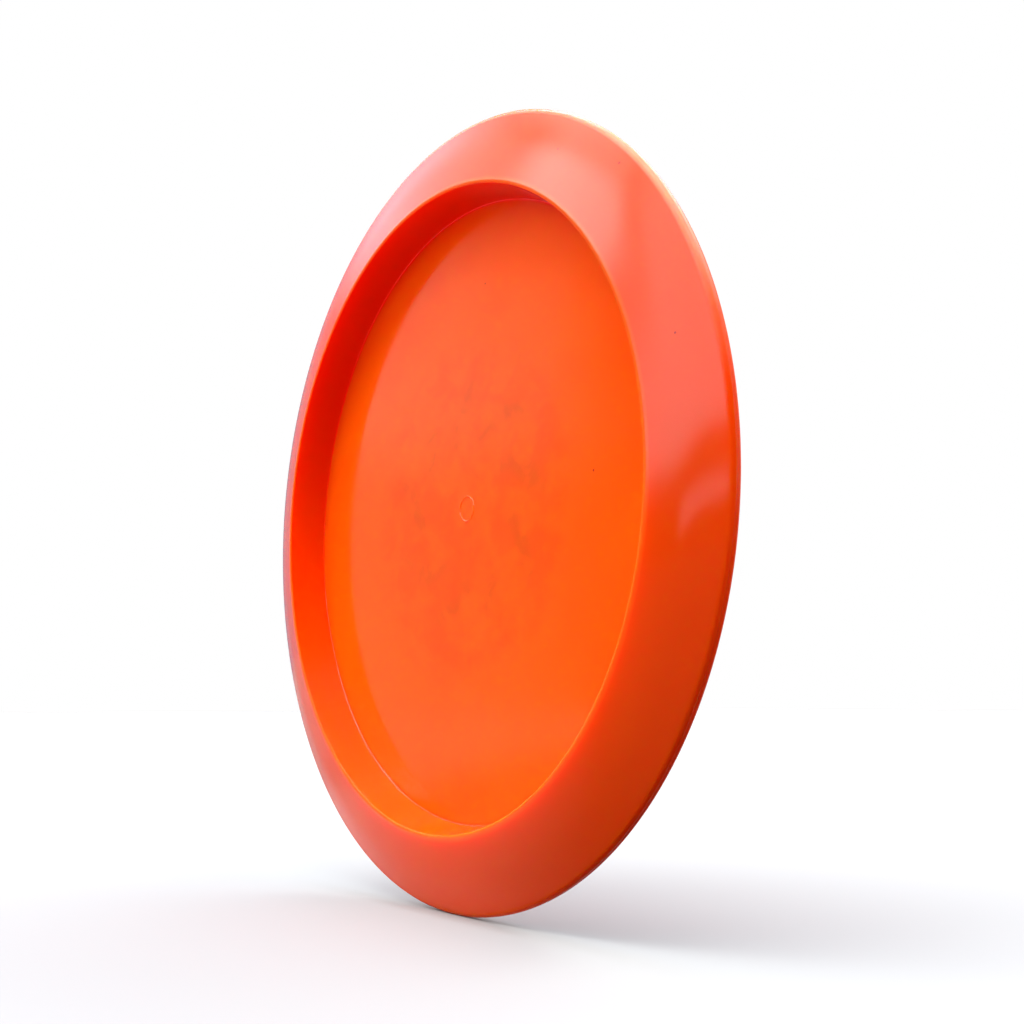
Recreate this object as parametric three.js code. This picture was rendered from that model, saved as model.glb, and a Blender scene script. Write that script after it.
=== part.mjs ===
// A flying disc of the distance-driver kind: one moulded body with a wide, low rim and a thin
// flight plate, and a decorative foil stamp pressed on the top of the plate.
//
// Millimetres. The disc stands on its edge: its spin axis is Y, its top faces +Y and its hollow
// underside faces -Y. The origin is on the spin axis, half way between the lip and the stamp.

import * as THREE from 'three';

// Driving dimensions of the moulding. Heights are measured from the plane of the lip, towards
// the top, and radii from the spin axis.
const DISC_RADIUS = 105.5;
const DISC_HEIGHT = 12.8;
const PLATE_UNDERSIDE_HEIGHT = 10.8;
const PLATE_CORNER_RADIUS = 83.3;
const LIP_INNER_RADIUS = 85.1;
const LIP_OUTER_RADIUS = 86;
const TOP_FLAT_RADIUS = 50;

// The underside of the rim rises from the lip to the nose in two gentle slopes.
const WING_BEND = { radius: 96.6, height: 3.1 };
const NOSE_UNDERSIDE_HEIGHT = 7;

// The top falls from the shoulder to the nose.
const NOSE_TOP_HEIGHT = 9.35;
const BROW = { radius: 101.8, height: 11.15 };
const SHOULDER = { radius: 86, height: 12.6 };

// Roundings of the corners.
const PLATE_FILLET = 0.3;
const LIP_INNER_ROUNDING = 0.5;
const LIP_OUTER_ROUNDING = 1.2;
const WING_ROUNDING = 60;
const NOSE_UNDERSIDE_ROUNDING = 1.2;
const NOSE_TOP_ROUNDING = 1.8;
const BROW_ROUNDING = 12;
const SHOULDER_ROUNDING = 60;

// The ring that the mould's gate leaves in the middle of the underside.
const GATE_OUTER_RADIUS = 3.6;
const GATE_CREST_WIDTH = 0.3;
const GATE_FLANK_WIDTH = 0.12;
const GATE_RELIEF = 0.2;

// The foil stamp: two rings, and a pinwheel of curved blades between them.
const FOIL_THICKNESS = 0.05;
const FOIL_GAP = 0.02;
const BORDER_RING = { innerRadius: 44, outerRadius: 46 };
const HUB_RING = { innerRadius: 9, outerRadius: 11 };
const BLADE_COUNT = 9;
const BLADE_ROOT = { radius: 14, angle: 0 };
const BLADE_TIP = { radius: 40.5, angle: 48 };
const BLADE_LEADING_BELLY = { radius: 35, angle: 4 };
const BLADE_TRAILING_BELLY = { radius: 27, angle: 27 };

// Fineness of the facets.
const TURN_STEPS = 120;
const BLADE_CURVE_STEPS = 12;
const LARGEST_ARC_STEP = THREE.MathUtils.degToRad(24);

const LIP_Y = -(DISC_HEIGHT + FOIL_GAP + FOIL_THICKNESS) / 2;
const FOIL_Y = LIP_Y + DISC_HEIGHT + FOIL_GAP;

const orangePlastic = () =>
  new THREE.MeshStandardMaterial({ color: 0xff5a1f, roughness: 0.25, metalness: 0 });

const stampFoil = () =>
  new THREE.MeshStandardMaterial({ color: 0x54413a, roughness: 0.3, metalness: 0.9 });

function corner(radius, height, rounding = 0) {
  return { place: new THREE.Vector2(radius, LIP_Y + height), rounding };
}

// The points of an arc that rounds a corner between its two neighbours.
function roundedCorner(before, here, after) {
  const towardsBefore = before.place.clone().sub(here.place).normalize();
  const towardsAfter = after.place.clone().sub(here.place).normalize();
  const cornerAngle = Math.acos(towardsBefore.dot(towardsAfter));
  const turn = Math.PI - cornerAngle;
  const bisector = towardsBefore.clone().add(towardsAfter).normalize();
  const centreDistance = here.rounding / Math.sin(cornerAngle / 2);
  const centre = here.place.clone().addScaledVector(bisector, centreDistance);
  const setback = here.rounding / Math.tan(cornerAngle / 2);
  const start = here.place.clone().addScaledVector(towardsBefore, setback);
  const turnsLeft = towardsBefore.cross(towardsAfter) < 0;
  const steps = Math.max(2, Math.ceil(turn / LARGEST_ARC_STEP));
  const points = [];
  for (let step = 0; step <= steps; step += 1) {
    const angle = (turn * step) / steps;
    points.push(start.clone().rotateAround(centre, turnsLeft ? angle : -angle));
  }
  return points;
}

// An outline through its corners, with each rounded corner replaced by its arc.
function roundedOutline(corners) {
  return corners.flatMap((here, index) =>
    here.rounding > 0
      ? roundedCorner(corners[index - 1], here, corners[index + 1])
      : [here.place],
  );
}

// The half section of the moulding, from the middle of the underside, round the rim, and back
// to the middle of the top.
function discOutline() {
  const gateCrestOuter = GATE_OUTER_RADIUS - GATE_FLANK_WIDTH;
  const gateCrestInner = gateCrestOuter - GATE_CREST_WIDTH;
  const gateInnerRadius = gateCrestInner - GATE_FLANK_WIDTH;
  const gateCrestHeight = PLATE_UNDERSIDE_HEIGHT - GATE_RELIEF;
  return roundedOutline([
    corner(0, PLATE_UNDERSIDE_HEIGHT),
    corner(gateInnerRadius, PLATE_UNDERSIDE_HEIGHT),
    corner(gateCrestInner, gateCrestHeight),
    corner(gateCrestOuter, gateCrestHeight),
    corner(GATE_OUTER_RADIUS, PLATE_UNDERSIDE_HEIGHT),
    corner(PLATE_CORNER_RADIUS, PLATE_UNDERSIDE_HEIGHT, PLATE_FILLET),
    corner(LIP_INNER_RADIUS, 0, LIP_INNER_ROUNDING),
    corner(LIP_OUTER_RADIUS, 0, LIP_OUTER_ROUNDING),
    corner(WING_BEND.radius, WING_BEND.height, WING_ROUNDING),
    corner(DISC_RADIUS, NOSE_UNDERSIDE_HEIGHT, NOSE_UNDERSIDE_ROUNDING),
    corner(DISC_RADIUS, NOSE_TOP_HEIGHT, NOSE_TOP_ROUNDING),
    corner(BROW.radius, BROW.height, BROW_ROUNDING),
    corner(SHOULDER.radius, SHOULDER.height, SHOULDER_ROUNDING),
    corner(TOP_FLAT_RADIUS, DISC_HEIGHT),
    corner(0, DISC_HEIGHT),
  ]);
}

function makeDiscBody() {
  const geometry = new THREE.LatheGeometry(discOutline(), TURN_STEPS);
  const mesh = new THREE.Mesh(geometry, orangePlastic());
  mesh.name = 'disc_body';
  return mesh;
}

function polarPoint({ radius, angle }) {
  const turned = THREE.MathUtils.degToRad(angle);
  return new THREE.Vector2(radius * Math.cos(turned), radius * Math.sin(turned));
}

// A flat piece of foil on the top of the plate, from its outline as seen from above.
function makeFoilPiece(name, outline) {
  const geometry = new THREE.ExtrudeGeometry(outline, {
    depth: FOIL_THICKNESS,
    bevelEnabled: false,
    curveSegments: BLADE_CURVE_STEPS,
  });
  geometry.rotateX(-Math.PI / 2);
  const mesh = new THREE.Mesh(geometry, stampFoil());
  mesh.name = name;
  mesh.position.y = FOIL_Y;
  return mesh;
}

function makeFoilRing(name, { innerRadius, outerRadius }) {
  const section = [
    new THREE.Vector2(innerRadius, 0),
    new THREE.Vector2(outerRadius, 0),
    new THREE.Vector2(outerRadius, FOIL_THICKNESS),
    new THREE.Vector2(innerRadius, FOIL_THICKNESS),
    new THREE.Vector2(innerRadius, 0),
  ];
  const mesh = new THREE.Mesh(new THREE.LatheGeometry(section, TURN_STEPS), stampFoil());
  mesh.name = name;
  mesh.position.y = FOIL_Y;
  return mesh;
}

// A leaf between two curves that share their ends.
function bladeOutline() {
  const root = polarPoint(BLADE_ROOT);
  const tip = polarPoint(BLADE_TIP);
  const leading = polarPoint(BLADE_LEADING_BELLY);
  const trailing = polarPoint(BLADE_TRAILING_BELLY);
  const outline = new THREE.Shape();
  outline.moveTo(root.x, root.y);
  outline.quadraticCurveTo(leading.x, leading.y, tip.x, tip.y);
  outline.quadraticCurveTo(trailing.x, trailing.y, root.x, root.y);
  return outline;
}

function makeFoilStamp() {
  const stamp = new THREE.Group();
  stamp.add(makeFoilRing('foil_border_ring', BORDER_RING));
  stamp.add(makeFoilRing('foil_hub_ring', HUB_RING));
  for (let index = 0; index < BLADE_COUNT; index += 1) {
    const blade = makeFoilPiece(`foil_blade_${index + 1}`, bladeOutline());
    blade.rotation.y = (index * 2 * Math.PI) / BLADE_COUNT;
    stamp.add(blade);
  }
  return stamp;
}

const flyingDisc = new THREE.Group();
flyingDisc.add(makeDiscBody());
flyingDisc.add(makeFoilStamp());

export default flyingDisc;
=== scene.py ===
"""A flying disc, orange and slightly translucent, standing on its edge on a pale floor.

Lengths are metres unless a name ends in _MM. The disc's spin axis is Y: the hollow underside
faces -Y and the stamped top faces +Y.
"""

import math

import bpy
from mathutils import Matrix, Vector, noise


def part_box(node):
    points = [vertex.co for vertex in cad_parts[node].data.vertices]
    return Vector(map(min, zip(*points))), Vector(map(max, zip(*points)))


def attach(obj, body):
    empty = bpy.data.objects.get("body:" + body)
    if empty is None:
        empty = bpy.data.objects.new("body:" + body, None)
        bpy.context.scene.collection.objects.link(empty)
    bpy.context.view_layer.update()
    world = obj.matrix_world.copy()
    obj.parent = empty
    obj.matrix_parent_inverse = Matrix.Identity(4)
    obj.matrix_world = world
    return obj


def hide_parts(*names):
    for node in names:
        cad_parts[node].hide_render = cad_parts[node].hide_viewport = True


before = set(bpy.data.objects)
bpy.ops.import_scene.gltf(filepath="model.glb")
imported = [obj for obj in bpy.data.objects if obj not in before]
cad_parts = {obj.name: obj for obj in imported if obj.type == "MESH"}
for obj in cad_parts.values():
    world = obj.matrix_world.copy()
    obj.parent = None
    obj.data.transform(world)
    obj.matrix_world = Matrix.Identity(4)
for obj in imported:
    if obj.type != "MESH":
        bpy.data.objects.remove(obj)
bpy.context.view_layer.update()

MM = 0.001

# ---------------------------------------------------------------- sizes from the frame
body_low, body_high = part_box("disc_body")
DISC_RADIUS = body_high.x
LIP_Y = body_low.y
TOP_Y = body_high.y
DISC_HEIGHT = TOP_Y - LIP_Y

# ---------------------------------------------------------------- the moulding's section
# Radii from the spin axis and heights above the lip, as on the CAD body.
PLATE_UNDERSIDE_HEIGHT = 10.8 * MM
PLATE_CORNER_RADIUS = 83.3 * MM
LIP_INNER_RADIUS = 85.1 * MM
LIP_OUTER_RADIUS = 86.0 * MM
WING_BEND = (96.6 * MM, 3.1 * MM)
NOSE_UNDERSIDE_HEIGHT = 7.0 * MM
NOSE_TOP_HEIGHT = 9.35 * MM
BROW = (101.8 * MM, 11.15 * MM)
SHOULDER = (86.0 * MM, 12.6 * MM)
TOP_FLAT_RADIUS = 50.0 * MM
PLATE_FILLET = 0.3 * MM
LIP_INNER_ROUNDING = 0.5 * MM
LIP_OUTER_ROUNDING = 1.2 * MM
WING_ROUNDING = 60.0 * MM
NOSE_UNDERSIDE_ROUNDING = 1.2 * MM
NOSE_TOP_ROUNDING = 1.8 * MM
BROW_ROUNDING = 12.0 * MM
SHOULDER_ROUNDING = 60.0 * MM

# The ring that the mould's gate leaves in the middle of the underside.
GATE_RADIUS = 3.35 * MM
GATE_HALF_WIDTH = 0.28 * MM
GATE_RELIEF = 0.2 * MM
GATE_FOOT_ROUNDING = 0.08 * MM
GATE_CREST_ROUNDING = 0.1 * MM

# The parting line round the nose, and the trimmed flash that stands on it. Each wave of its
# unevenness is how fine it is and how strong.
PARTING_HEIGHT = 7.55 * MM
FLASH_RELIEF = 0.10 * MM
FLASH_HALF_WIDTH = 0.16 * MM
FLASH_ROOT_RADIUS = DISC_RADIUS - 2 * MM
FLASH_WAVES = [(9, 0.5), (60, 0.3)]

# Fineness of the mesh.
TURN_STEPS = 512
ARC_STEP = math.radians(4)
LONGEST_SPAN = 3 * MM


# ---------------------------------------------------------------- mesh helpers
def rounded_corner(before, here, after, rounding):
    """The points of the arc that rounds the corner at here between its two neighbours."""
    to_before = (before - here).normalized()
    to_after = (after - here).normalized()
    corner_angle = to_before.angle(to_after)
    turn = math.pi - corner_angle
    bisector = (to_before + to_after).normalized()
    centre = here + bisector * rounding / math.sin(corner_angle / 2)
    start = here + to_before * rounding / math.tan(corner_angle / 2)
    side = to_before.x * to_after.y - to_before.y * to_after.x
    direction = 1 if side < 0 else -1
    steps = max(3, math.ceil(turn / ARC_STEP))
    arm = start - centre
    points = []
    for step in range(steps + 1):
        angle = direction * turn * step / steps
        turned = Matrix.Rotation(angle, 2) @ arm
        points.append(centre + turned)
    return points


def rounded_outline(corners):
    """An outline through (radius, height, rounding) corners, each rounded by its own arc."""
    places = [Vector((radius, LIP_Y + height)) for radius, height, _ in corners]
    points = []
    for index, (_, _, rounding) in enumerate(corners):
        here = places[index]
        if rounding:
            points += rounded_corner(places[index - 1], here, places[index + 1], rounding)
        else:
            points.append(here)
    return points


def subdivided(points, longest):
    """The same outline with no stretch longer than longest."""
    result = [points[0]]
    for start, end in zip(points, points[1:]):
        parts = max(1, math.ceil((end - start).length / longest))
        for part in range(1, parts + 1):
            result.append(start.lerp(end, part / parts))
    return result


def make_mesh_object(name, vertices, faces, material):
    """A smooth-shaded object in the scene, with one material."""
    mesh = bpy.data.meshes.new(name)
    mesh.from_pydata(vertices, [], faces)
    mesh.validate()
    mesh.shade_smooth()
    made = bpy.data.objects.new(name, mesh)
    bpy.context.scene.collection.objects.link(made)
    mesh.materials.append(material)
    return made


def revolve(name, outline, material, relief):
    """A closed body turned about Y from an outline that starts and ends on the axis.

    relief(height, angle) gives the small extra radius of a point of the nose.
    """
    inner = outline[1:-1]
    vertices = [(0, outline[0].y, 0)]
    for step in range(TURN_STEPS):
        angle = 2 * math.pi * step / TURN_STEPS
        cosine, sine = math.cos(angle), math.sin(angle)
        for point in inner:
            radius = point.x
            if radius > FLASH_ROOT_RADIUS:
                radius += relief(point.y, angle)
            vertices.append((radius * cosine, point.y, radius * sine))
    vertices.append((0, outline[-1].y, 0))
    last = len(vertices) - 1
    rows = len(inner)
    faces = []
    for step in range(TURN_STEPS):
        this = 1 + step * rows
        following = 1 + (step + 1) % TURN_STEPS * rows
        faces.append((0, this, following))
        for row in range(rows - 1):
            faces.append((this + row, this + row + 1, following + row + 1, following + row))
        faces.append((this + rows - 1, last, following + rows - 1))
    return make_mesh_object(name, vertices, faces, material)


# ---------------------------------------------------------------- node trees
class Nodes:
    """A node tree, with short calls for the nodes that the materials and the world share."""

    def __init__(self, tree):
        self.tree = tree

    def node(self, kind, **values):
        """A node with its settings and inputs filled in; a socket as a value is linked."""
        made = self.tree.nodes.new(kind)
        for key, value in values.items():
            if not key[0].isupper():
                setattr(made, key, value)
        for key, value in values.items():
            if key[0].isupper():
                self.fill(made.inputs[key.replace("_", " ")], value)
        return made

    def fill(self, socket, value):
        if isinstance(value, bpy.types.NodeSocket):
            self.tree.links.new(value, socket)
        else:
            socket.default_value = value

    def math(self, operation, *values):
        made = self.node("ShaderNodeMath", operation=operation)
        for socket, value in zip(made.inputs, values):
            self.fill(socket, value)
        return made.outputs[0]

    def vector_math(self, operation, *values):
        made = self.node("ShaderNodeVectorMath", operation=operation)
        for socket, value in zip(made.inputs, values):
            self.fill(socket, value)
        return made.outputs["Value" if operation in ("LENGTH", "DOT_PRODUCT") else "Vector"]

    def ramp(self, value, start, end, low=0.0, high=1.0):
        """A smooth step of value from start to end, which goes from low to high."""
        made = self.node(
            "ShaderNodeMapRange",
            interpolation_type="SMOOTHSTEP",
            Value=value,
            From_Min=start,
            From_Max=end,
            To_Min=low,
            To_Max=high,
        )
        return made.outputs["Result"]

    def tint(self, factor, colour, other):
        made = self.node("ShaderNodeMix", data_type="RGBA")
        self.fill(made.inputs["Factor"], factor)
        self.fill(made.inputs["A"], colour)
        self.fill(made.inputs["B"], other)
        return made.outputs["Result"]

    def seen_by_camera(self):
        """1 for what the camera sees directly, and 0 for all other light."""
        return self.node("ShaderNodeLightPath").outputs["Is Camera Ray"]


class Shader(Nodes):
    """A material with its Principled shader, and the textures that the materials share."""

    def __init__(self, name):
        self.material = bpy.data.materials.new(name)
        self.material.use_nodes = True
        super().__init__(self.material.node_tree)
        self.principled = self.tree.nodes["Principled BSDF"]
        self.output = self.tree.nodes["Material Output"]
        self.place = self.node("ShaderNodeTexCoord").outputs["Object"]

    def set(self, **values):
        for key, value in values.items():
            self.fill(self.principled.inputs[key.replace("_", " ")], value)

    def mix_in(self, factor, other):
        """Show the Principled shader at factor 1 and the other shader at factor 0."""
        mix = self.node("ShaderNodeMixShader")
        self.fill(mix.inputs[0], factor)
        self.fill(mix.inputs[1], other.outputs[0])
        self.fill(mix.inputs[2], self.principled.outputs[0])
        self.fill(self.output.inputs["Surface"], mix.outputs[0])

    def noise(self, size, detail=2.0, distortion=0.0, place=None):
        """Noise whose blotches are about size across."""
        made = self.node(
            "ShaderNodeTexNoise",
            Vector=place or self.place,
            Scale=1 / size,
            Detail=detail,
            Distortion=distortion,
        )
        return made.outputs["Fac"]

    def stretched(self, along, across, turn):
        """The object's place turned by an angle about Y and squeezed to along by across."""
        made = self.node(
            "ShaderNodeMapping",
            Vector=self.place,
            Rotation=(0, turn, 0),
            Scale=(1 / along, 1 / across, 1 / across),
        )
        return made.outputs[0]

    def bump(self, height, depth, normal=None):
        made = self.node("ShaderNodeBump", Height=height, Distance=depth, Strength=1.0)
        if normal:
            self.fill(made.inputs["Normal"], normal)
        return made.outputs["Normal"]

    def distance_to_axis(self, place=None):
        flat = self.vector_math("MULTIPLY", place or self.place, (1, 0, 1))
        return self.vector_math("LENGTH", flat)

    def specks(self, specks_mm):
        """Small round spots that run straight through the moulding, 0 to 1."""
        total = 0.0
        for distance, angle, size in specks_mm:
            arm = Vector((math.cos(math.radians(angle)), 0, math.sin(math.radians(angle))))
            offset = self.vector_math("SUBTRACT", self.place, arm * distance * MM)
            away = self.distance_to_axis(offset)
            total = self.math("MAXIMUM", total, self.ramp(away, size * MM, 0.5 * size * MM))
        return total

    def scratches(self, turn_step):
        """Thin broken hairlines in several directions, 0 to 1."""
        total = 0.0
        for index in range(SCRATCH_DIRECTIONS):
            grain = self.stretched(SCRATCH_LENGTH, SCRATCH_SPACING, index * turn_step)
            line = self.ramp(self.noise(1, 1.0, 0.0, grain), *SCRATCH_EDGE)
            patch = self.stretched(1, 1, index * turn_step + 1)
            where = self.ramp(self.noise(SCRATCH_PATCH, 1.0, 0.0, patch), *SCRATCH_PATCH_EDGE)
            total = self.math("MAXIMUM", total, self.math("MULTIPLY", line, where))
        return total


# ---------------------------------------------------------------- materials
# Hairline scratches, in patches. An edge is the noise levels where a mark starts and is full.
SCRATCH_DIRECTIONS = 4
SCRATCH_LENGTH = 26 * MM
SCRATCH_SPACING = 0.5 * MM
SCRATCH_EDGE = (0.7, 0.76)
SCRATCH_PATCH = 30 * MM
SCRATCH_PATCH_EDGE = (0.5, 0.62)

# The plate is painted lighter than the rim: painted light that stands in for light coming through
# the thin plate.
PLATE_COLOUR = (0.9, 0.102, 0.001, 1)
# The inner wall's painted shade at its top and painted light at its bottom.
WALL_SHADED_TOP_COLOUR = (1.0, 0.015, 0.0, 1)
WALL_LIT_BOTTOM_COLOUR = (1.0, 0.07, 0.0, 1)
RIM_COLOUR = (0.75, 0.06, 0.001, 1)
# The lip's colour is a painted glow where light comes through its thin edge.
LIP_GLOW_COLOUR = (1.0, 0.14, 0.01, 1)
NOSE_GLOW_COLOUR = (1.0, 0.27, 0.17, 1)
DEEP_COLOUR = (0.75, 0.04, 0.001, 1)
# The stamp's painted shadow, seen through the plate.
STAMP_SHADOW_COLOUR = (0.5, 0.056, 0.002, 1)
SPECK_COLOUR = (0.33, 0.012, 0.003, 1)

# Painted light and shade on the inner wall: it turns from its painted lit bottom colour to its
# painted shaded top colour between these heights above the spin axis.
WALL_SHADE_TURN = (-0.3 * LIP_INNER_RADIUS, 0.95 * LIP_INNER_RADIUS)

# The lip is painted pale, a painted glow where light comes through its thin edge: its height
# where that ends and is full, and how strong it is.
LIP_GLOW_EDGE = (0.35 * MM, 0.05 * MM)
LIP_GLOW_STRENGTH = 0.55

# The nose: how far in from the disc's edge it starts and is full. It glows pale from below its
# top corner, and in the disc's upper half.
NOSE_EDGE = (1.5 * MM, 0.8 * MM)
GLOW_BELOW_TOP = (0.4 * MM, 1.0 * MM)
GLOW_TURN = (0.1 * DISC_RADIUS, 0.6 * DISC_RADIUS)
GLOW_STRENGTH = 0.8

# Deeper colour where the melt flowed.
FLOW_SIZE = 38 * MM
FLOW_EDGE = (0.35, 0.75)
FLOW_STRENGTH = 0.16

# The stamp's painted shadow shows through the plate as mottling as far out as this.
STAMP_REACH = 50 * MM
MOTTLE_SIZE = 10 * MM
MOTTLE_EDGE = (0.36, 0.64)
MOTTLE_STRENGTH = 0.42

# How the moulded surface shines: glossy, but duller on the nose, and on the inner wall from a
# little below the plate, clear of the fillet.
GLOSS = 0.25
DULL_GLOSS = 0.07
DULL_BELOW_PLATE = (0.3 * MM, 0.8 * MM)
SMOOTHEST = 0.085
ROUGHEST = 0.15
SCUFF_ROUGHNESS = 0.12
PLASTIC_SCUFF_DEPTH = 0.003 * MM
POLISH_SIZE = 24 * MM
POLISH_EDGE = (0.3, 0.75)
WAVE_SIZE = 22 * MM
WAVE_DEPTH = 0.08 * MM
PEEL_SIZE = 1.1 * MM
PEEL_DEPTH = 0.0015 * MM

# How far light travels inside the plastic, the share of that for red, green and blue, and how
# much of the light scatters inside a speck.
SCATTER_DISTANCE = 8 * MM
SCATTER_SHARES = (1.0, 0.3, 0.08)
SPECK_SCATTER = 0.3

# Dark specks moulded into the underside: distance to the axis, degrees from +X towards +Z, size.
SPECKS_MM = [(101.8, 45, 0.4), (96.8, 58, 0.3), (61.2, 82, 0.3), (96.3, 16, 0.35), (54.8, 3, 0.4)]

# The foil of the stamp, and how much of the light that the camera doesn't see it stops.
FOIL_COLOUR = (0.15, 0.1, 0.08, 1)
FOIL_RUBBED_COLOUR = (0.3, 0.19, 0.13, 1)
FOIL_SCRATCH_COLOUR = (0.55, 0.3, 0.2, 1)
FOIL_RUB_SIZE = 5 * MM
FOIL_RUB_EDGE = (0.55, 0.75)
FOIL_ROUGHNESS = 0.26
FOIL_RUB_ROUGHNESS = 0.2
FOIL_METALLIC = 0.9
FOIL_SCUFF_DEPTH = 0.004 * MM
FOIL_SHADE = 0.35


def plastic_colour(shader, radius, height, upward, on_wall, on_wing, on_nose, specks):
    """The colour of the moulding, from the plate outwards with its painted light and shade, then
    its marks and the stamp's painted shadow.
    """
    # Painted light and shade: the inner wall is painted lit orange low down and shaded deep red
    # high up.
    high = shader.ramp(upward, *WALL_SHADE_TURN)
    wall = shader.tint(high, WALL_LIT_BOTTOM_COLOUR, WALL_SHADED_TOP_COLOUR)
    # Painted light: the plate lighter and the rim darker, for light coming through the thin
    # plate.
    colour = shader.tint(on_wall, PLATE_COLOUR, wall)
    colour = shader.tint(on_wing, colour, RIM_COLOUR)

    # Painted glow along the lip, where light comes through its thin edge.
    lip_glow_ends, lip_glow_full = LIP_GLOW_EDGE
    wear_and_glow = shader.ramp(height, LIP_Y + lip_glow_ends, LIP_Y + lip_glow_full, 0.0, LIP_GLOW_STRENGTH)
    colour = shader.tint(wear_and_glow, colour, LIP_GLOW_COLOUR)

    # The thin nose is paler in its upper half, where light from above comes through it.
    nose_top = LIP_Y + NOSE_TOP_HEIGHT
    glow_ends, glow_full = GLOW_BELOW_TOP
    below_top = shader.ramp(height, nose_top - glow_ends, nose_top - glow_full)
    lit = shader.ramp(upward, *GLOW_TURN, 0.0, GLOW_STRENGTH)
    glow = shader.math("MULTIPLY", shader.math("MULTIPLY", on_nose, below_top), lit)
    colour = shader.tint(glow, colour, NOSE_GLOW_COLOUR)

    # The melt is a little deeper in places, and the stamp's painted shadow shows through the
    # plate as blotches.
    flow = shader.ramp(shader.noise(FLOW_SIZE, 3.0, 0.6), *FLOW_EDGE, 0.0, FLOW_STRENGTH)
    colour = shader.tint(flow, colour, DEEP_COLOUR)
    mottle = shader.noise(MOTTLE_SIZE, 3.5, 0.6)
    stamp_shadow_blotches = shader.ramp(mottle, *MOTTLE_EDGE, 0.0, MOTTLE_STRENGTH)
    inside_stamp = shader.ramp(radius, STAMP_REACH, 0.8 * STAMP_REACH)
    colour = shader.tint(shader.math("MULTIPLY", stamp_shadow_blotches, inside_stamp), colour, STAMP_SHADOW_COLOUR)
    return shader.tint(specks, colour, SPECK_COLOUR)


def orange_plastic():
    """Glossy orange plastic that scatters light inside, and differs from part to part, partly by
    painted light and shade.
    """
    shader = Shader("orange_plastic")
    radius = shader.distance_to_axis()
    split = shader.node("ShaderNodeSeparateXYZ", Vector=shader.place)
    height = split.outputs["Y"]
    upward = split.outputs["Z"]
    specks = shader.specks(SPECKS_MM)

    # Where each part of the moulding is. on_wall covers the wing too, where on_wing is 1.
    plate_underside = LIP_Y + PLATE_UNDERSIDE_HEIGHT
    below_plate = shader.ramp(height, plate_underside + 0.5 * MM, plate_underside)
    outwards = shader.ramp(radius, PLATE_CORNER_RADIUS - 1 * MM, PLATE_CORNER_RADIUS)
    on_wall = shader.math("MULTIPLY", outwards, below_plate)
    on_wing = shader.ramp(radius, LIP_INNER_RADIUS, LIP_OUTER_RADIUS)
    nose_starts, nose_full = NOSE_EDGE
    on_nose = shader.ramp(radius, DISC_RADIUS - nose_starts, DISC_RADIUS - nose_full)
    colour = plastic_colour(shader, radius, height, upward, on_wall, on_wing, on_nose, specks)

    dull_starts, dull_full = DULL_BELOW_PLATE
    off_fillet = shader.ramp(height, plate_underside - dull_starts, plate_underside - dull_full)
    on_bare_wall = shader.math("MULTIPLY", off_fillet, shader.ramp(on_wing, 1, 0))
    on_bare_wall = shader.math("MULTIPLY", on_wall, on_bare_wall)
    dull = shader.math("MAXIMUM", on_bare_wall, on_nose)
    scuffs = shader.scratches(0.8)
    polish = shader.ramp(shader.noise(POLISH_SIZE, 4.0, 0.4), *POLISH_EDGE, SMOOTHEST, ROUGHEST)
    waves = shader.bump(shader.noise(WAVE_SIZE, 1.0), WAVE_DEPTH)
    peel = shader.bump(shader.noise(PEEL_SIZE, 3.0), PEEL_DEPTH, waves)
    shader.set(
        Base_Color=colour,
        Roughness=shader.math("MULTIPLY_ADD", scuffs, SCUFF_ROUGHNESS, polish),
        Normal=shader.bump(scuffs, -PLASTIC_SCUFF_DEPTH, peel),
        IOR=1.5,
        Specular_IOR_Level=shader.ramp(dull, 0, 1, GLOSS, DULL_GLOSS),
        Subsurface_Weight=shader.ramp(specks, 0, 1, 1.0, SPECK_SCATTER),
        Subsurface_Radius=SCATTER_SHARES,
        Subsurface_Scale=SCATTER_DISTANCE,
    )
    return shader.material


def stamp_foil():
    """Dark satin foil, scratched and a little rubbed, that lets most of the light by unseen."""
    shader = Shader("stamp_foil")
    wear_and_glow = shader.ramp(shader.noise(FOIL_RUB_SIZE, 6.0, 0.5), *FOIL_RUB_EDGE)
    scuffs = shader.scratches(0.7)
    colour = shader.tint(wear_and_glow, FOIL_COLOUR, FOIL_RUBBED_COLOUR)
    shader.set(
        Base_Color=shader.tint(scuffs, colour, FOIL_SCRATCH_COLOUR),
        Roughness=shader.math("MULTIPLY_ADD", wear_and_glow, FOIL_RUB_ROUGHNESS, FOIL_ROUGHNESS),
        Metallic=FOIL_METALLIC,
        Normal=shader.bump(scuffs, -FOIL_SCUFF_DEPTH),
    )
    solidity = shader.ramp(shader.seen_by_camera(), 0, 1, FOIL_SHADE, 1.0)
    shader.mix_in(solidity, shader.node("ShaderNodeBsdfTransparent"))
    return shader.material


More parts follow.
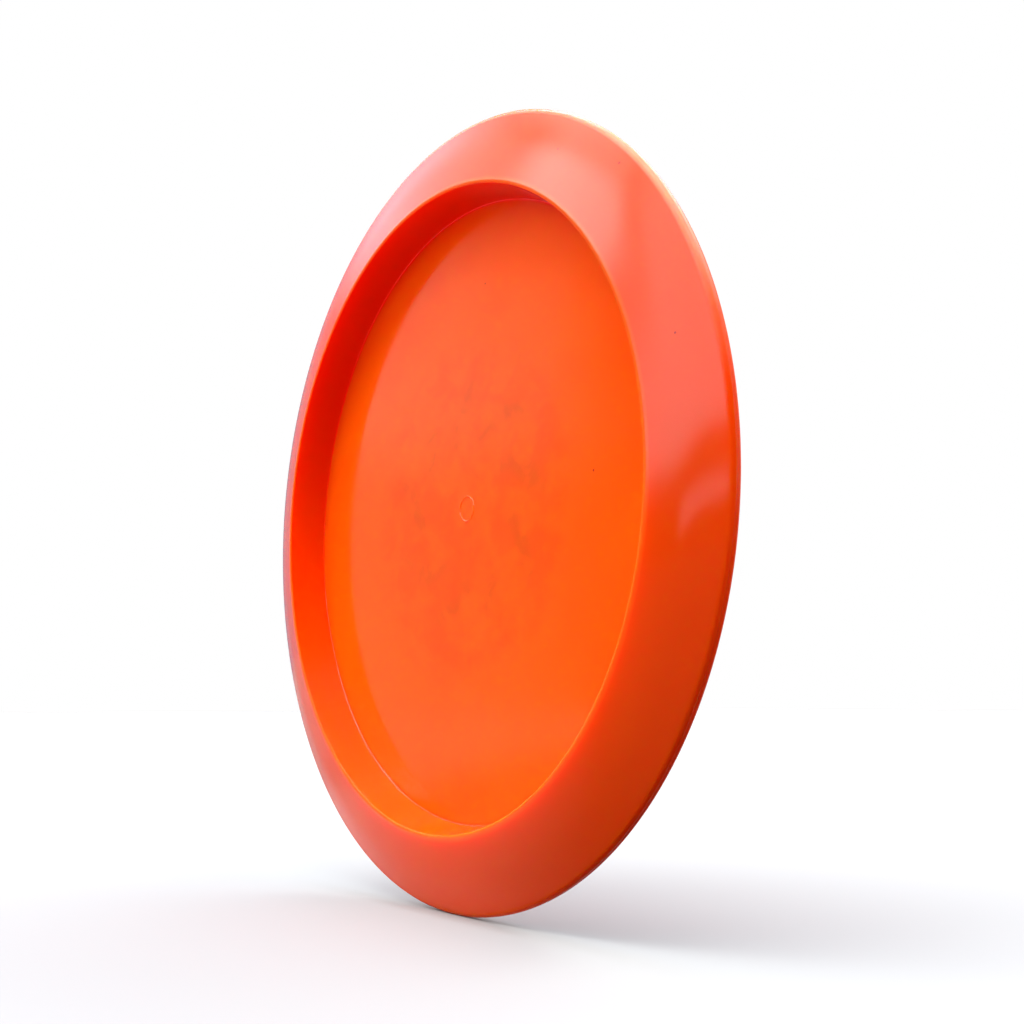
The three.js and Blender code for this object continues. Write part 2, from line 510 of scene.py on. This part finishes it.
# ---------------------------------------------------------------- the pieces
def disc_outline():
    crest = PLATE_UNDERSIDE_HEIGHT - GATE_RELIEF
    return rounded_outline(
        [
            (0, PLATE_UNDERSIDE_HEIGHT, 0),
            (GATE_RADIUS - GATE_HALF_WIDTH, PLATE_UNDERSIDE_HEIGHT, GATE_FOOT_ROUNDING),
            (GATE_RADIUS, crest, GATE_CREST_ROUNDING),
            (GATE_RADIUS + GATE_HALF_WIDTH, PLATE_UNDERSIDE_HEIGHT, GATE_FOOT_ROUNDING),
            (PLATE_CORNER_RADIUS, PLATE_UNDERSIDE_HEIGHT, PLATE_FILLET),
            (LIP_INNER_RADIUS, 0, LIP_INNER_ROUNDING),
            (LIP_OUTER_RADIUS, 0, LIP_OUTER_ROUNDING),
            (*WING_BEND, WING_ROUNDING),
            (DISC_RADIUS, NOSE_UNDERSIDE_HEIGHT, NOSE_UNDERSIDE_ROUNDING),
            (DISC_RADIUS, NOSE_TOP_HEIGHT, NOSE_TOP_ROUNDING),
            (*BROW, BROW_ROUNDING),
            (*SHOULDER, SHOULDER_ROUNDING),
            (TOP_FLAT_RADIUS, DISC_HEIGHT, 0),
            (0, DISC_HEIGHT, 0),
        ]
    )


def flash_relief(height, angle):
    """How far the trimmed flash stands proud of the nose, uneven all the way round."""
    from_line = (height - LIP_Y - PARTING_HEIGHT) / FLASH_HALF_WIDTH
    around = Vector((math.cos(angle), math.sin(angle), 0))
    uneven = 1
    for fineness, strength in FLASH_WAVES:
        uneven += strength * noise.noise(around * fineness)
    return FLASH_RELIEF * uneven * math.exp(-from_line * from_line)


def make_disc():
    outline = subdivided(disc_outline(), LONGEST_SPAN)
    disc = revolve("moulded_disc", outline, orange_plastic(), flash_relief)
    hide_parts("disc_body")
    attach(disc, "root")


def finish_foil():
    material = stamp_foil()
    for name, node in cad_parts.items():
        if name.startswith("foil_"):
            node.data.materials.clear()
            node.data.materials.append(material)


# ---------------------------------------------------------------- stage, lights, camera
VIEW_AZIMUTH = math.radians(54.92)
VIEW_ELEVATION = math.radians(-8)
VIEW_DISTANCE = 356.5 * MM
VIEW_AIM_RIGHT = 20.75 * MM
VIEW_AIM_UP = -1.66 * MM
VIEW_AIM_ABOVE_LIP = 0.3 * MM
LENS_MM = 47.29
SENSOR_MM = 36
NEAREST_SEEN = 10 * MM


def direction(azimuth, elevation):
    """The unit vector from the object towards a viewer."""
    return Vector(
        (
            math.sin(azimuth) * math.cos(elevation),
            -math.cos(azimuth) * math.cos(elevation),
            math.sin(elevation),
        )
    )


def make_camera():
    back = direction(VIEW_AZIMUTH, VIEW_ELEVATION)
    right = Vector((math.cos(VIEW_AZIMUTH), math.sin(VIEW_AZIMUTH), 0))
    up = back.cross(right)
    aim = Vector((0, LIP_Y + VIEW_AIM_ABOVE_LIP, 0)) + right * VIEW_AIM_RIGHT + up * VIEW_AIM_UP
    data = bpy.data.cameras.new("camera")
    data.lens = LENS_MM
    data.sensor_width = SENSOR_MM
    data.clip_start = NEAREST_SEEN
    camera = bpy.data.objects.new("camera", data)
    camera.location = aim + back * VIEW_DISTANCE
    camera.rotation_euler = Matrix((right, up, back)).transposed().to_euler()
    bpy.context.scene.collection.objects.link(camera)
    bpy.context.scene.camera = camera


# The floor: how pale it is to the camera, and how pale to the object. To the object it is painted
# with light and shade: painted shade in front and to the right, a painted pool of light close by,
# and painted light, fairly pale, far to the left.
FLOOR_SEEN = 0.3
FLOOR_ROUGHNESS = 0.8
FLOOR_DARK = 0.04
FLOOR_PALE = 0.25
FLOOR_FAR = 0.17
POOL_EDGE = (-70 * MM, 0)
POOL_REACH = (300 * MM, 160 * MM)
FAR_LEFT_EDGE = (120 * MM, 300 * MM)
POOL_DIRECTION = (-1, 0.5, 0)
FAR_LEFT_DIRECTION = (-1, 1, 0)
FLOOR_HALF = 6.0
FLOOR_GAP = 0.1 * MM


def make_floor():
    """A floor that is white to the camera and dimmer to everything else."""
    shader = Shader("pale_floor")
    shader.set(Base_Color=(FLOOR_SEEN, FLOOR_SEEN, FLOOR_SEEN, 1), Roughness=FLOOR_ROUGHNESS)
    # Painted light and shade seen only by the object: a painted pool of light close by, painted
    # light far left, painted shade in front and to the right.
    near = shader.ramp(shader.vector_math("LENGTH", shader.place), *POOL_REACH)
    towards_pool = shader.vector_math("DOT_PRODUCT", shader.place, POOL_DIRECTION)
    pool = shader.math("MULTIPLY", near, shader.ramp(towards_pool, *POOL_EDGE))
    leftward = shader.vector_math("DOT_PRODUCT", shader.place, FAR_LEFT_DIRECTION)
    far = shader.ramp(leftward, *FAR_LEFT_EDGE)
    pale = shader.math("MULTIPLY_ADD", far, FLOOR_FAR - FLOOR_DARK, FLOOR_DARK)
    pale = shader.math("MULTIPLY_ADD", pool, FLOOR_PALE - FLOOR_DARK, pale)
    shader.mix_in(shader.seen_by_camera(), shader.node("ShaderNodeBsdfDiffuse", Color=pale))
    z = body_low.z - FLOOR_GAP
    corners = [
        (-FLOOR_HALF, -FLOOR_HALF, z),
        (FLOOR_HALF, -FLOOR_HALF, z),
        (FLOOR_HALF, FLOOR_HALF, z),
        (-FLOOR_HALF, FLOOR_HALF, z),
    ]
    floor = make_mesh_object("floor", corners, [(0, 1, 2, 3)], shader.material)


# The studio round the disc, in degrees. Azimuth and elevation are as in direction().
AMBIENT = 0.03
BACKGROUND_SEEN = 1.0

# The light from the left is cooler. Each edge is where that starts and is full.
COOL_LIGHT = (0.74, 0.88, 1.12, 1)
COOL_EDGES = [(-140, -115), (-60, -90)]

# Soft panels of light. Each gives where a panel starts, is full, stops being full and ends;
# slant is the rise of its lower and upper edges per degree of azimuth.
PANELS = [
    # azimuth               elevation        slant  brightness
    ((-30, -16, 10, 18), (1, 6, 54, 64), 0.35, 4.3),
    ((-114, -86, -34, -20), (20, 31, 38, 60), 0, 2.2),
    ((-60, -46, -32, -23), (25, 33, 41, 54), 0, 5.0),
    ((-118, -104, -84, -60), (-40, -30, 24, 34), 0, 0.5),
    ((-80, -74, -58, -49), (-40, -36, 10, 24), 0, 0.4),
    ((-66, -60, -54, -50), (8, 13, 17, 21), 0, 0.6),
    ((-13, -10, 14, 18), (0.5, 2.5, 4, 6), 0.2, 2.4),
    ((20, 45, 90, 115), (20, 35, 65, 80), 0, 0.8),
    ((135, 150, 180, 190), (34, 46, 52, 62), 0, 4.5),
    ((-190, -180, -134, -120), (34, 46, 52, 62), 0, 5.0),
    ((-140, -110, 130, 160), (46, 58, 91, 92), 0, 7.5),
    ((115, 140, 180, 190), (-5, 5, 34, 48), 0, 1.4),
    ((-190, -180, -140, -118), (-5, 5, 34, 48), 0, 1.4),
]


def panel_light(nodes, azimuth, elevation, panel):
    """The light of one panel in a direction."""
    across, upward, slant, bright = panel
    rise = nodes.math("MULTIPLY_ADD", azimuth, -slant, math.radians(across[0] * slant))
    level = nodes.math("ADD", elevation, rise)
    mask = bright
    for value, (start, full, fading, end) in ((azimuth, across), (level, upward)):
        for outer, inner in ((start, full), (end, fading)):
            edge = nodes.ramp(value, math.radians(outer), math.radians(inner))
            mask = nodes.math("MULTIPLY", mask, edge)
    return mask


def make_world():
    """White to the camera, and a ring of soft panels to the object."""
    world = bpy.data.worlds.new("studio")
    world.use_nodes = True
    nodes = Nodes(world.node_tree)
    background = nodes.tree.nodes["Background"]

    position = nodes.node("ShaderNodeTexCoord").outputs["Generated"]
    x, y, z = nodes.node("ShaderNodeSeparateXYZ", Vector=position).outputs
    azimuth = nodes.math("ARCTAN2", x, nodes.math("MULTIPLY", y, -1))
    elevation = nodes.math("ARCSINE", z)
    strength = AMBIENT
    for panel in PANELS:
        strength = nodes.math("ADD", panel_light(nodes, azimuth, elevation, panel), strength)

    seen = nodes.seen_by_camera()
    coolness = nodes.ramp(seen, 1, 0)
    for outer, inner in COOL_EDGES:
        edge = nodes.ramp(azimuth, math.radians(outer), math.radians(inner))
        coolness = nodes.math("MULTIPLY", coolness, edge)
    nodes.fill(background.inputs["Color"], nodes.tint(coolness, (1, 1, 1, 1), COOL_LIGHT))

    brightness = nodes.node("ShaderNodeMix", Factor=seen)
    nodes.fill(brightness.inputs["A"], strength)
    nodes.fill(brightness.inputs["B"], BACKGROUND_SEEN)
    nodes.fill(background.inputs["Strength"], brightness.outputs["Result"])
    bpy.context.scene.world = world


make_disc()
finish_foil()
make_floor()
make_world()
make_camera()
bpy.context.scene.view_settings.view_transform = "Standard"
